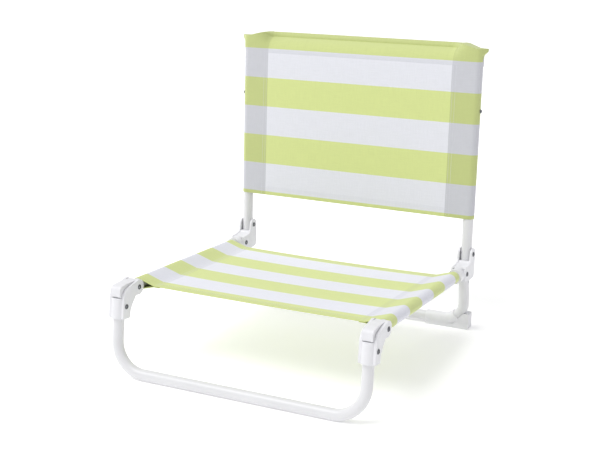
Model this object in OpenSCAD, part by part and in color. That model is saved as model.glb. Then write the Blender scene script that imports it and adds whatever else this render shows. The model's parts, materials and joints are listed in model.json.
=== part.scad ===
// Low folding camp chair: tubular steel frame, moulded hinge fittings, woven seat and back.
// The front faces -Y, +X is on the right as seen from the front, Z is up, and the floor is Z = 0.

/* [Overall] */
// Distance between the centre lines of the two side rails
seat_w = 520; // [430:5:630]
// Distance along a rail from the front leg pivot to the rear leg pivot
seat_span = 432; // [360:1:520]
// Height of the front leg pivot above the floor
front_pivot_h = 162; // [135:1:200]
// Height of the top of the backrest above the floor
back_h = 598; // [490:1:700]
// Fall of the seat rails toward the back, in degrees
seat_slope = 4; // [0:0.5:8]
// Backward lean of the back posts, in degrees
back_lean = 4.1; // [0:0.1:12]

/* [Tubes] */
// Outer diameter of the rails, legs and posts
tube_d = 22; // [19:0.5:26]
// Wall of every tube
tube_wall = 1.2; // [0.8:0.1:1.5]
// Outer diameter of the bar across the top of the backrest
bar_d = 19; // [15:0.5:20]
// Centre-line bend radius of the front leg
front_bend_r = 60; // [40:1:80]
// Centre-line bend radius of the rear leg
rear_bend_r = 45; // [35:1:60]
// How far the top bar sits behind the posts
bar_setback = 27; // [16:1:45]
// Distance from a post's centre line inward to the end of the top bar
corner_reach = 37; // [30:1:60]
// How far the top of a post's corner fitting is below the top of the bar
ear_fall = 8; // [2:0.5:8]

/* [Front leg] */
// Distance of the leg's centre line ahead of its pivot
front_leg_lead = 41.6; // [38:0.1:52]
// Forward splay of the front leg, in degrees
front_leg_splay = 8.5; // [0:0.5:14]
// Radius of the rounded hinge end of the leg housing
lobe_r = 15; // [13:0.5:17]
// Thickness of each side plate of the leg housing
front_plate_t = 5; // [3:0.5:6]
// Wall of the leg housing's socket around the leg
socket_wall = 4; // [3:0.5:5]
// Distance of the lower end of the leg housing below the pivot
socket_drop = 56; // [50:1:66]

/* [Rail ends] */
// How far the front end of the rail fitting reaches ahead of the pivot
nose_l = 58; // [52:1:68]
// Height of the front end of the rail fitting
nose_h = 22; // [18:0.5:24]
// Distance of the rail tube's front end behind the front pivot
rail_start = 15; // [14:0.5:22]

/* [Rear bracket] */
// Thickness of each side plate of the rear bracket
rear_plate_t = 3.8; // [3:0.1:6]
// Height of the back pivot above the rail's centre line
back_pivot_rise = 35; // [34:0.5:42]
// Distance of the back pivot behind the rear leg pivot
back_pivot_back = 34.5; // [32:0.5:42]
// Radius of the bracket's rounded end around the back pivot
back_lobe_r = 13; // [11:0.5:15]
// Length of the post below its pivot
post_tail = 20; // [18:0.5:21]

/* [Rear leg] */
// Distance of the leg's centre line behind its pivot
rear_leg_trail = 24.3; // [24:0.1:30]
// Backward splay of the rear leg, in degrees
rear_leg_splay = 5; // [0:0.5:10]
// Radius of the leg fitting's eye around the pivot
eye_r = 11.5; // [9:0.5:12]
// Thickness of a foot below the tube
foot_under = 3; // [2:0.5:5]
// Thickness of a foot around the tube
foot_wall = 2.6; // [2:0.2:4]
// Length of a foot along the rear bar, from its outer face
foot_l = 96; // [80:1:120]

/* [Rivets and screws] */
// Shank diameter of every rivet
rivet_d = 6; // [5:0.5:8]
// Head diameter of every rivet
rivet_head_d = 10; // [9:0.5:12]
// Height of a rivet's head
rivet_head_t = 1.8; // [1:0.1:2.5]
// Shank diameter of every screw
screw_d = 4; // [3:0.5:5]
// Head diameter of every screw
screw_head_d = 8; // [7:0.5:9]
// Distance of the fabric screws below the centre line of the top bar
fabric_screw_drop = 123.9; // [60:0.1:160]

/* [Fits] */
// Gap between a hinge plate and the piece beside it
side_gap = 0.4; // [0.3:0.1:0.8]
// Diameter gap between a rivet and the piece that turns on it
pivot_gap = 0.16; // [0.1:0.02:0.2]
// Gap left between two moving pieces where one stops the other
stop_gap = 0.3; // [0.3:0.1:0.6]
// Diameter gap between a rivet or pin and the piece that it is pressed into
press_gap = 0.04; // [0.02:0.02:0.1]
// Diameter gap between a screw and its hole
screw_gap = 0.1; // [0.04:0.02:0.2]
// Diameter gap between a tube and the ring or saddle around it
socket_gap = 0.1; // [0.04:0.02:0.3]
// Diameter gap between the front leg and its housing
housing_gap = 0.06; // [0.04:0.02:0.2]
// Diameter gap between a plug and the tube that it fills
plug_gap = 0.2; // [0.1:0.05:0.4]

/* [Fabric] */
// Thickness of the fabric
fabric_t = 1.2; // [0.8:0.1:2]
// Gap between the fabric and the tube that it is sewn around
fabric_gap = 0.25; // [0.1:0.05:0.5]
// Depth of the seat's sag at the middle
seat_sag = 16; // [8:1:24]
// Distance from the front pivot to the front edge of the seat fabric
seat_fabric_start = 19; // [18:0.5:30]
// Distance from the rear leg pivot forward to the back edge of the seat fabric
seat_fabric_end = 39; // [37:0.5:60]
// Width of the sewn sleeve from the rail's centre line inward
sleeve_w = 36; // [28:1:60]
// Height of the lower edge of the back fabric above the floor
back_fabric_low = 240; // [215:1:300]
// Height of the closed pocket at the top of the back fabric
pocket_h = 44; // [36:1:60]

/* [Hidden] */
$fn = 64;

frame_white = "whitesmoke";
plastic_white = "white";
rivet_grey = "gray";
cloth_green = "palegoldenrod";

tube_r = tube_d / 2;
half_w = seat_w / 2;
gap_half = tube_r + side_gap;
front_plate_out = gap_half + front_plate_t;
rear_plate_out = gap_half + rear_plate_t;
plug_d = tube_d - 2 * tube_wall - plug_gap;
sleeve_r = tube_r + fabric_gap + fabric_t;

// Front leg: the leg's frame has its origin at the pivot and Z along the leg.
front_leg_drop = (front_pivot_h - tube_r + front_leg_lead * sin(front_leg_splay)) / cos(front_leg_splay);
front_bar_y = -front_leg_lead * cos(front_leg_splay) - front_leg_drop * sin(front_leg_splay);
socket_r = tube_r + socket_wall;
housing_rivet_drop = 32;
leg_top_drop = 20;
nose_half = nose_h / 2;

// Rear leg: its pivot is on the rail's centre line.
rear_pivot_y = seat_span * cos(seat_slope);
rear_pivot_h = front_pivot_h - seat_span * sin(seat_slope);
rear_bar_h = tube_r + foot_under;
rear_leg_drop = (rear_pivot_h - rear_bar_h + rear_leg_trail * sin(rear_leg_splay)) / cos(rear_leg_splay);
rear_leg_top = 16;
eye_pin_drop = rear_leg_top + 12;
rail_end_gap = 13;
socket_l = 21;
ring_r = tube_r + 4;

// Backrest: its frame has its origin at the back pivot and Z along the posts.
back_pivot_y = (seat_span + back_pivot_back) * cos(seat_slope) + back_pivot_rise * sin(seat_slope);
back_pivot_h = front_pivot_h - (seat_span + back_pivot_back) * sin(seat_slope)
    + back_pivot_rise * cos(seat_slope);
bar_r = bar_d / 2;
bar_cover = bar_r + fabric_gap + fabric_t;
bar_rise = (back_h - back_pivot_h - sleeve_r * sin(back_lean)) / cos(back_lean) - bar_cover;
corner_h = bar_r + 12;
corner_screw_rise = bar_rise - 5;
corner_plug_l = 28;
post_top = bar_rise + bar_r - corner_h;
fabric_screw_rise = bar_rise - fabric_screw_drop;
cap_t = 1.5;

// The origin is at the middle of the outline on the floor.
y_min = front_bar_y - tube_r;
y_max = back_pivot_y + (bar_rise + bar_cover) * sin(back_lean) + (bar_setback + bar_cover) * cos(back_lean);
y_mid = (y_min + y_max) / 2;

// ---- Placement ----

module seat_frame() {
    translate([0, -y_mid, front_pivot_h]) rotate([-seat_slope, 0, 0]) children();
}

module front_leg_frame() {
    translate([0, -y_mid, front_pivot_h]) rotate([-front_leg_splay, 0, 0]) children();
}

module rear_leg_frame() {
    translate([0, rear_pivot_y - y_mid, rear_pivot_h]) rotate([rear_leg_splay, 0, 0]) children();
}

module back_frame() {
    translate([0, back_pivot_y - y_mid, back_pivot_h]) rotate([-back_lean, 0, 0]) children();
}

module on_side(side) {
    translate([side * half_w, 0, 0]) children();
}

module on_both_sides() {
    on_side(-1) children();
    on_side(1) children();
}

// ---- Outlines and solids of revolution ----

function unit(v) = v / norm(v);

// Points that round corner b, between corners a and c, to radius b[2].
function round_corner(a, b, c, steps = 8) =
    let (
        p = [b[0], b[1]],
        to_a = unit([a[0], a[1]] - p),
        to_c = unit([c[0], c[1]] - p),
        half = acos(to_a * to_c) / 2,
        centre = p + unit(to_a + to_c) * b[2] / sin(half),
        start = p + to_a * b[2] / tan(half) - centre,
        end = p + to_c * b[2] / tan(half) - centre,
        from = atan2(start[1], start[0]),
        turn = (atan2(end[1], end[0]) - from + 900) % 360 - 180
    )
    b[2] == 0 ? [p] :
    [for (i = [0:steps]) centre + b[2] * [cos(from + turn * i / steps), sin(from + turn * i / steps)]];

// A closed outline from corners [x, y, radius].
function rounded(corners) =
    let (n = len(corners))
    [for (i = [0:n - 1]) each round_corner(corners[(i + n - 1) % n], corners[i], corners[(i + 1) % n])];

// Extrudes a side view, drawn as [y, z], across X from x = from by the width w.
module side_slab(from, w) {
    translate([from, 0, 0]) rotate([90, 0, 90]) linear_extrude(w) children();
}

// A straight pin across X, centred on x = 0.
module cross_pin(d, l) {
    translate([-l / 2, 0, 0]) rotate([0, 90, 0]) cylinder(d = d, h = l);
}

// A rod that starts at the origin along +Z. A step is ["go", length]
// or ["turn", radius, angle, roll], which bends toward +X after the roll.
module rod(steps, d, i = 0) {
    if (i < len(steps) && steps[i][0] == "go") {
        cylinder(d = d, h = steps[i][1]);
        translate([0, 0, steps[i][1]]) rod(steps, d, i + 1);
    }
    if (i < len(steps) && steps[i][0] == "turn") {
        r = steps[i][1];
        a = steps[i][2];
        rotate([0, 0, steps[i][3]]) {
            translate([r, 0, 0]) rotate([90, 0, 180]) rotate_extrude(angle = a) translate([r, 0]) circle(d = d);
            translate([r * (1 - cos(a)), 0, r * sin(a)]) rotate([0, a, 0]) rod(steps, d, i + 1);
        }
    }
}

module tube(steps, d) {
    difference() {
        rod(steps, d);
        rod(steps, d - 2 * tube_wall);
    }
}

// A tubular rivet across X, with a dished head at each end.
module rivet(grip) {
    rotate([0, 90, 0]) rotate_extrude() polygon([
        [0, -grip / 2 - rivet_head_t * 0.2],
        [rivet_d * 0.28, -grip / 2 - rivet_head_t * 0.2],
        [rivet_d * 0.34, -grip / 2 - rivet_head_t],
        [rivet_head_d * 0.36, -grip / 2 - rivet_head_t],
        [rivet_head_d / 2, -grip / 2 - rivet_head_t * 0.3],
        [rivet_head_d / 2, -grip / 2],
        [rivet_d / 2, -grip / 2],
        [rivet_d / 2, grip / 2],
        [rivet_head_d / 2, grip / 2],
        [rivet_head_d / 2, grip / 2 + rivet_head_t * 0.3],
        [rivet_head_d * 0.36, grip / 2 + rivet_head_t],
        [rivet_d * 0.34, grip / 2 + rivet_head_t],
        [rivet_d * 0.28, grip / 2 + rivet_head_t * 0.2],
        [0, grip / 2 + rivet_head_t * 0.2],
    ]);
}

// A pan-head screw along +Z with its head's seat at z = 0.
module screw(l) {
    translate([0, 0, -0.01]) cylinder(d = screw_d, h = l);
    difference() {
        rotate_extrude() polygon([
            [0, -2.4],
            [screw_head_d * 0.3, -2.4],
            [screw_head_d / 2, -1],
            [screw_head_d / 2, 0],
            [0, 0],
        ]);
        for (a = [0, 90]) rotate([0, 0, a]) translate([-2, -0.4, -3]) cube([4, 0.8, 1.4]);
    }
}

// ---- Seat ----

module seat_rail(side) {
    color(frame_white) seat_frame() on_side(side) difference() {
        translate([0, rail_start, 0]) rotate([-90, 0, 0])
            tube([["go", seat_span - rail_end_gap - rail_start]], tube_d);
        translate([0, seat_span - rail_end_gap - socket_l / 2, -tube_r - 1]) cylinder(d = screw_d + screw_gap, h = tube_r);
    }
}

module rail_end(side) {
    color(plastic_white) seat_frame() on_side(side) difference() {
        union() {
            side_slab(-tube_r + 0.1, tube_d - 0.2) polygon(rounded([
                [-nose_l, -nose_half, 7],
                [-nose_l, nose_half, 9],
                [-nose_l * 0.62, 13.5, 16],
                [6, 13.5, 8],
                [rail_start, tube_r - 1, 2],
                [rail_start, -tube_r + 1, 2],
                [6, -13, 8],
                [-12, -13, 6],
                [-20, -nose_half, 6],
            ]));
            rotate([-90, 0, 0]) cylinder(d = plug_d, h = rail_start + 38);
        }
        cross_pin(rivet_d + pivot_gap, tube_d + 2);
    }
}

// The bracket clamps the rail in a ring, and its two plates carry both rear pivots.
// A roof joins the plates over the leg's eye and ends where the backrest rests on it.
module rear_bracket(side) {
    web_y = back_pivot_back - tube_r + 4;
    web_top = back_pivot_rise - tube_r - 2;
    plate = rounded([
        [-rail_end_gap - 1, -ring_r, 2],
        [10, -ring_r, 8],
        [24, -ring_r - 2, 8],
        [back_pivot_back + back_lobe_r, -ring_r, 9],
        [back_pivot_back + back_lobe_r, back_pivot_rise, 0],
        [back_pivot_back - back_lobe_r, back_pivot_rise, 0],
        [back_pivot_back - back_lobe_r - 2, back_pivot_rise - 16, 12],
        [2, ring_r + 0.5, 12],
        [-rail_end_gap - 1, ring_r, 2],
    ]);
    color(plastic_white) on_side(side) {
        difference() {
            union() {
                seat_frame() translate([0, seat_span, 0]) {
                    for (x = [-rear_plate_out, gap_half]) side_slab(x, rear_plate_t) {
                        polygon(plate);
                        translate([back_pivot_back, back_pivot_rise]) circle(r = back_lobe_r);
                    }
                    translate([0, -rail_end_gap - socket_l, 0]) rotate([-90, 0, 0])
                        cylinder(r = ring_r, h = socket_l + 0.5);
                    side_slab(-gap_half - 0.5, 2 * gap_half + 1) polygon(rounded([
                        [-rail_end_gap - 1, eye_r + 1.2, 0],
                        [web_y, eye_r + 1.2, 0],
                        [web_y, web_top, 1],
                        [web_y - 7, web_top, 4],
                        [web_y - 10, web_top - 4, 4],
                        [1, ring_r - 0.4, 6],
                        [-rail_end_gap - 1, ring_r - 0.4, 0],
                    ]));
                }
                rear_leg_frame() translate([-gap_half - 0.5, rear_leg_trail - 6, -4 + stop_gap])
                    cube([2 * gap_half + 1, 16, 6]);
            }
            seat_frame() translate([0, seat_span, 0]) {
                translate([0, -rail_end_gap - socket_l - 1, 0]) rotate([-90, 0, 0])
                    cylinder(d = tube_d + socket_gap, h = socket_l + 3);
                cross_pin(rivet_d + press_gap, 2 * rear_plate_out + 2);
                translate([0, back_pivot_back, back_pivot_rise]) cross_pin(rivet_d + press_gap, 2 * rear_plate_out + 2);
                translate([0, -rail_end_gap - socket_l / 2, -ring_r - 1]) cylinder(d = screw_d + screw_gap, h = ring_r);
            }
            back_frame() translate([0, 0, -post_tail - 4]) cylinder(d = tube_d + 2 * stop_gap, h = 60);
        }
    }
}

module rail_screws() {
    color(rivet_grey) seat_frame() on_both_sides()
        translate([0, seat_span - rail_end_gap - socket_l / 2, -ring_r]) screw(ring_r - tube_r + 3);
}

// The seat fabric's section is [x, z], with x = 0 in the middle of the chair.
hem_x = half_w - sleeve_w;
hem_z = sleeve_r - 3;
function seat_drop(x) = seat_sag * (1 - pow(abs(x) / hem_x, 4));

// The points of a sleeve around the right rail, from above the hem round to below it.
function sleeve_arc(r, hem, steps = 28) =
    let (
        to_hem = hem - [half_w, 0],
        middle = atan2(to_hem[1], to_hem[0]),
        spread = acos(r / norm(to_hem))
    )
    [for (i = [0:steps]) let (a = middle - spread - (360 - 2 * spread) * i / steps)
        [half_w + r * cos(a), r * sin(a)]];

function flipped(points) = [for (i = [len(points) - 1:-1:0]) [-points[i][0], points[i][1]]];

module seat_section() {
    steps = 24;
    xs = [for (i = [-steps:steps]) hem_x * i / steps];
    outer = sleeve_arc(sleeve_r, [hem_x, hem_z - fabric_t / 2]);
    inner_hem = [hem_x + 3, hem_z - fabric_t / 2];
    inner = concat([inner_hem], sleeve_arc(sleeve_r - fabric_t, inner_hem));
    difference() {
        polygon(concat(
            [for (x = xs) [x, hem_z - seat_drop(x)]],
            outer,
            [for (i = [2 * steps:-1:0]) [xs[i], hem_z - fabric_t - seat_drop(xs[i])]],
            flipped(outer)
        ));
        polygon(inner);
        polygon(flipped(inner));
    }
}

module seat_fabric() {
    color(cloth_green) seat_frame() translate([0, seat_span - seat_fabric_end, 0]) rotate([90, 0, 0])
        linear_extrude(seat_span - seat_fabric_end - seat_fabric_start) seat_section();
}

// ---- Front leg ----

module front_leg_tube() {
    color(frame_white) front_leg_frame() difference() {
        translate([-half_w, -front_leg_lead, -leg_top_drop]) rotate([180, 0, 0]) tube([
            ["go", front_leg_drop - leg_top_drop - front_bend_r],
            ["turn", front_bend_r, 90, 0],
            ["go", seat_w - 2 * front_bend_r],
            ["turn", front_bend_r, 90, 0],
            ["go", front_leg_drop - leg_top_drop - front_bend_r],
        ], tube_d);
        on_both_sides() translate([0, -front_leg_lead, -housing_rivet_drop])
            cross_pin(rivet_d + press_gap, tube_d + 2);
    }
}

// The housing grips the leg's top end, and its two plates straddle the rail's front end.
module leg_housing(side) {
    plate = rounded([
        [-front_leg_lead - 10, -socket_drop, 3],
        [-front_leg_lead - 10, -11, 8],
        [-front_leg_lead - 3, 0, 6],
        [-front_leg_lead + 14, 7, 20],
        [-1, lobe_r, 0],
        [1, 0, 0],
        [-2, -lobe_r + 0.2, 0],
        [-10, -lobe_r + 0.5, 5],
        [-front_leg_lead + 20, -lobe_r - 15, 14],
        [-front_leg_lead + 14.5, -socket_drop + 14, 12],
        [-front_leg_lead + 14, -socket_drop, 3],
    ]);
    color(plastic_white) on_side(side) difference() {
        front_leg_frame() {
            for (x = [-front_plate_out, gap_half]) side_slab(x, front_plate_t) {
                polygon(plate);
                circle(r = lobe_r);
            }
            translate([0, -front_leg_lead, -socket_drop]) cylinder(r = socket_r, h = socket_drop - 6);
        }
        front_leg_frame() {
            translate([0, -front_leg_lead, -socket_drop - 1])
                cylinder(d = tube_d + housing_gap, h = socket_drop - leg_top_drop + 1);
            cross_pin(rivet_d + press_gap, 2 * front_plate_out + 2);
            translate([0, -front_leg_lead, -housing_rivet_drop]) cross_pin(rivet_d + press_gap, 2 * front_plate_out + 2);
        }
        seat_frame() translate([-gap_half, -nose_l - 20, -nose_half - stop_gap])
            cube([2 * gap_half, nose_l + 60, 60]);
    }
}

module housing_rivets() {
    color(rivet_grey) front_leg_frame() on_both_sides()
        translate([0, -front_leg_lead, -housing_rivet_drop]) rivet(2 * front_plate_out);
}

module front_pivot_rivets() {
    color(rivet_grey) front_leg_frame() on_both_sides() rivet(2 * front_plate_out);
}

// ---- Rear leg ----

module rear_leg_tube() {
    color(frame_white) rear_leg_frame() difference() {
        translate([-half_w, rear_leg_trail, -rear_leg_top]) rotate([180, 0, 0]) tube([
            ["go", rear_leg_drop - rear_leg_top - rear_bend_r],
            ["turn", rear_bend_r, 90, 0],
            ["go", seat_w - 2 * rear_bend_r],
            ["turn", rear_bend_r, 90, 0],
            ["go", rear_leg_drop - rear_leg_top - rear_bend_r],
        ], tube_d);
        on_both_sides() translate([0, rear_leg_trail, -eye_pin_drop]) cross_pin(screw_d + press_gap, tube_d + 2);
    }
}

// The fitting plugs into the leg's top end and carries the eye that the pivot rivet goes through.
module rear_leg_eye(side) {
    color(plastic_white) rear_leg_frame() on_side(side) difference() {
        union() {
            side_slab(-tube_r + 0.1, tube_d - 0.2) {
                circle(r = eye_r);
                polygon(rounded([
                    [-5, -eye_r + 3, 2],
                    [rear_leg_trail - tube_r - 5, -eye_r + 2.5, 3],
                    [rear_leg_trail - tube_r, -rear_leg_top + 4, 1],
                    [rear_leg_trail - tube_r, -rear_leg_top, 0],
                    [rear_leg_trail + tube_r - 0.5, -rear_leg_top, 0],
                    [rear_leg_trail + tube_r - 0.5, -4, 3],
                    [rear_leg_trail - 9, -4, 4],
                    [6, eye_r - 2.5, 2],
                ]));
            }
            translate([0, rear_leg_trail, -rear_leg_top - 22]) cylinder(d = plug_d, h = 24);
        }
        cross_pin(rivet_d + pivot_gap, tube_d + 2);
        translate([0, rear_leg_trail, -eye_pin_drop]) cross_pin(screw_d + press_gap, tube_d + 2);
    }
}

module eye_pins() {
    color(rivet_grey) rear_leg_frame() on_both_sides()
        translate([0, rear_leg_trail, -eye_pin_drop]) cross_pin(screw_d, tube_d - 0.4);
}

module rear_leg_rivets() {
    color(rivet_grey) seat_frame() translate([0, seat_span, 0]) on_both_sides() rivet(2 * rear_plate_out);
}

// A foot is a saddle around the corner of the leg, on a flat base that reaches the floor.
module rear_foot(side) {
    outer_r = tube_r + foot_wall;
    floor_y = rear_pivot_y - y_mid + rear_leg_trail * cos(rear_leg_splay) + rear_leg_drop * sin(rear_leg_splay);
    run = foot_l - outer_r - rear_bend_r;
    base_start = 2;
    base_h = rear_bar_h - 5;
    heel_h = 34;
    color(plastic_white) mirror([side < 0 ? 1 : 0, 0, 0]) difference() {
        union() {
            rear_leg_frame() foot_path(2 * outer_r, run, 45);
            translate([half_w + outer_r - foot_l, floor_y - tube_r - 1, 0]) rotate([90, 0, 0]) mirror([0, 0, 1])
                linear_extrude(tube_d + 2) polygon(rounded([
                    [base_start, 0, 1],
                    [foot_l, 0, 2],
                    [foot_l, heel_h, 3],
                    [foot_l - 12, heel_h, 0],
                    [foot_l - heel_h, base_h, 0],
                    [base_start, base_h, 0],
                ]));
        }
        rear_leg_frame() foot_path(tube_d + socket_gap, run + 10, 90);
        translate([0, 0, -50]) cube([seat_w, seat_w, 50]);
    }
}

// The rod along the lower right corner of the rear leg, from the rear bar up the bend.
module foot_path(d, run, bend) {
    translate([half_w - rear_bend_r - run, rear_leg_trail, -rear_leg_drop]) rotate([0, 90, 0]) rod([
        ["go", run],
        ["turn", rear_bend_r, bend, 180],
    ], d);
}

// ---- Backrest ----

module back_post(side) {
    color(frame_white) back_frame() on_side(side) difference() {
        translate([0, 0, -post_tail]) tube([["go", post_top + post_tail]], tube_d);
        cross_pin(rivet_d + pivot_gap, tube_d + 2);
        translate([0, 0, fabric_screw_rise]) cross_pin(screw_d + screw_gap, tube_d + 2);
    }
}

module post_plug(side) {
    color(plastic_white) back_frame() on_side(side) {
        translate([0, 0, -post_tail - cap_t]) cylinder(d = tube_d - 0.4, h = cap_t);
        translate([0, 0, -post_tail]) cylinder(d = plug_d, h = 12);
    }
}

// The bar's own centre line, from its left end to its right end.
module on_bar_line() {
    translate([0, bar_setback, bar_rise]) rotate([0, 90, 0]) children();
}

module back_top_bar() {
    l = seat_w - 2 * corner_reach;
    color(frame_white) back_frame() on_bar_line() translate([0, 0, -l / 2]) tube([["go", l]], bar_d);
}

// A corner fitting plugs into the post's top end and into the end of the top bar.
module top_corner(side) {
    color(plastic_white) back_frame() mirror([side < 0 ? 1 : 0, 0, 0]) difference() {
        union() {
            translate([half_w, 0, post_top]) linear_extrude(corner_h) polygon(rounded([
                [-tube_r, -tube_r, 9],
                [tube_r, -tube_r, 9],
                [tube_r, tube_r, 9],
                [6 - corner_reach, bar_setback + bar_r, 5],
                [-corner_reach, bar_setback + bar_r, 0],
                [-corner_reach, bar_setback - bar_r, 0],
            ]));
            translate([half_w, 0, post_top - corner_plug_l]) cylinder(d = plug_d, h = corner_plug_l + 1);
            on_bar_line() translate([0, 0, half_w - corner_reach - corner_plug_l])
                cylinder(d = bar_d - 2 * tube_wall - plug_gap, h = corner_plug_l + 1);
        }
        translate([half_w, -tube_d, post_top + corner_h]) rotate([-90, 0, 0]) linear_extrude(4 * tube_d) polygon([
            [6 - corner_reach, 0],
            [6 - tube_r, ear_fall],
            [tube_d, ear_fall],
            [tube_d, -tube_d],
            [6 - corner_reach, -tube_d],
        ]);
        translate([half_w, 0, corner_screw_rise]) cross_pin(screw_d + screw_gap, tube_d + 2);
    }
}

module corner_screws() {
    color(rivet_grey) back_frame() side_screws(corner_screw_rise, sleeve_r + tube_r - 3);
}

module fabric_screws() {
    color(rivet_grey) back_frame() side_screws(fabric_screw_rise, sleeve_r + tube_r);
}

// A screw into each post from the outside, through the fabric.
module side_screws(rise, l) {
    for (s = [-1, 1]) translate([s * (half_w + sleeve_r), 0, rise]) rotate([0, -90 * s, 0]) screw(l);
}

module back_pivot_rivets() {
    color(rivet_grey) seat_frame() translate([0, seat_span + back_pivot_back, back_pivot_rise])
        on_both_sides() rivet(2 * rear_plate_out);
}

// Outline of the top pocket in plan, grown by the fabric's offset from the corner fittings.
function pocket_plan(grow) =
    let (
        x = half_w + tube_r + grow,
        x_in = half_w - corner_reach + 6 + grow,
        y = tube_r + grow,
        back = bar_setback + bar_r + grow
    )
    [[-x, -y], [x, -y], [x, y], [x_in, back], [-x_in, back], [-x, y]];

module back_fabric() {
    low = (back_fabric_low - back_pivot_h) / cos(back_lean);
    top = bar_rise + bar_cover;
    color(cloth_green) back_frame() difference() {
        union() {
            translate([0, 0, low]) linear_extrude(top - pocket_h - low + 0.5) {
                for (s = [-1, 1]) translate([s * half_w, 0]) circle(r = sleeve_r);
                translate([-half_w, -sleeve_r]) square([seat_w, fabric_t]);
            }
            translate([0, 0, top - pocket_h]) linear_extrude(pocket_h) polygon(pocket_plan(fabric_gap + fabric_t));
        }
        on_both_sides() translate([0, 0, low - 1]) cylinder(r = sleeve_r - fabric_t, h = top - pocket_h - low + 2);
        translate([0, 0, top - pocket_h - 1]) linear_extrude(pocket_h - fabric_t + 1)
            polygon(pocket_plan(fabric_gap));
        for (rise = [fabric_screw_rise, corner_screw_rise]) translate([0, 0, rise])
            on_both_sides() cross_pin(screw_d + screw_gap, 3 * tube_d);
    }
}

seat_rail(-1);  // seat_rail_left
seat_rail(1);  // seat_rail_right
rail_end(-1);  // rail_end_left
rail_end(1);  // rail_end_right
rear_bracket(-1);  // rear_bracket_left
rear_bracket(1);  // rear_bracket_right
rail_screws();
seat_fabric();
front_leg_tube();
leg_housing(-1);  // leg_housing_left
leg_housing(1);  // leg_housing_right
housing_rivets();
front_pivot_rivets();
rear_leg_tube();
rear_leg_eye(-1);  // rear_leg_eye_left
rear_leg_eye(1);  // rear_leg_eye_right
eye_pins();
rear_leg_rivets();
rear_foot(-1);  // rear_foot_left
rear_foot(1);  // rear_foot_right
back_post(-1);  // back_post_left
back_post(1);  // back_post_right
post_plug(-1);  // post_plug_left
post_plug(1);  // post_plug_right
back_top_bar();
top_corner(-1);  // top_corner_left
top_corner(1);  // top_corner_right
corner_screws();
fabric_screws();
back_pivot_rivets();
back_fabric();
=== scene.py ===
"""The looks of a low folding camp chair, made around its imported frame.

It is laid out as an add-on and run as a script. Every size is in metres, in the frame's own axes:
the chair faces -Y, Z is up, and the floor is Z = 0.
"""

import json
import math

import bmesh
import bpy
from bpy.props import FloatProperty, FloatVectorProperty, PointerProperty, StringProperty
from mathutils import Matrix, Vector


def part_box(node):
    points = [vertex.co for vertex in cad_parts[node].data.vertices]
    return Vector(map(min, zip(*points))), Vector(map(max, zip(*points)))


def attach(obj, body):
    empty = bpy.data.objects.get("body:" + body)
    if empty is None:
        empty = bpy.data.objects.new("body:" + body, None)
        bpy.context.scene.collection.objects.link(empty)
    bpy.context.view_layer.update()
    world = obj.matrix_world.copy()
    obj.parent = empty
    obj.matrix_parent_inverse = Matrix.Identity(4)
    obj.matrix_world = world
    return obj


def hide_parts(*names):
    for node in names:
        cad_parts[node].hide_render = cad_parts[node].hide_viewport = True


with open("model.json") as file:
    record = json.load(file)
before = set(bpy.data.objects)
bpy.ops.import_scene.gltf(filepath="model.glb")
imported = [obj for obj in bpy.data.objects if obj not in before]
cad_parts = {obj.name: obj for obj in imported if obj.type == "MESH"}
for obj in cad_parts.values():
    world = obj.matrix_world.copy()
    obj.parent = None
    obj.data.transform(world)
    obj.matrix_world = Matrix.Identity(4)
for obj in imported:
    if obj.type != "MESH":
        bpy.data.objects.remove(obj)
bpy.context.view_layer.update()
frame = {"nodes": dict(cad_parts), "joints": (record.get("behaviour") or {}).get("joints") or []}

bl_info = {
    "name": "Folding Camp Chair",
    "version": (1, 0, 0),
    "blender": (4, 5, 0),
    "location": "View3D > Sidebar > Camp Chair",
    "description": "Cloth, fittings, fasteners, finishes and stage of a folding camp chair",
    "category": "Object",
}

JOINT = {joint["name"]: Vector(joint["pos_m"]) for joint in frame["joints"]}
SIDES = {"left": -1, "right": 1}

# Between a tube and the cloth around it
CLOTH_CLEARANCE = 0.0003
# From a seam or a folded edge to the stitches beside it, from a hem's edge to the first stitch of a
# line, and from the cloth's face up to the stitches' middle
STITCH_INSET, STITCH_START, STITCH_LIFT = 0.003, 0.002, 0.0001
# Points of the cloth or of a shape from the frame that are nearer than this are one point
CLOTH_MERGE, SHAPE_MERGE = 0.00005, 0.00002
# Columns of a strip's sheet, of its turn round a tube, beside that turn and on its flap
SHEET_COLUMNS, ARC_COLUMNS, JOIN_COLUMNS, FLAP_COLUMNS = 30, 24, 5, 3
# Rows along the seat and up the back, without their hems
SEAT_ROWS, BACK_ROWS = 60, 44


def length_property(name, description, default):
    return FloatProperty(name=name, description=description, default=default, min=0.0,
                         subtype="DISTANCE", unit="LENGTH", precision=4)


def angle_property(name, description, degrees):
    return FloatProperty(name=name, description=description, default=math.radians(degrees),
                         subtype="ANGLE", unit="ROTATION")


def plain_property(name, description, default):
    return FloatProperty(name=name, description=description, default=default)


def colour_property(name, description, default):
    return StringProperty(name=name, description=description, default=default)


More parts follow.
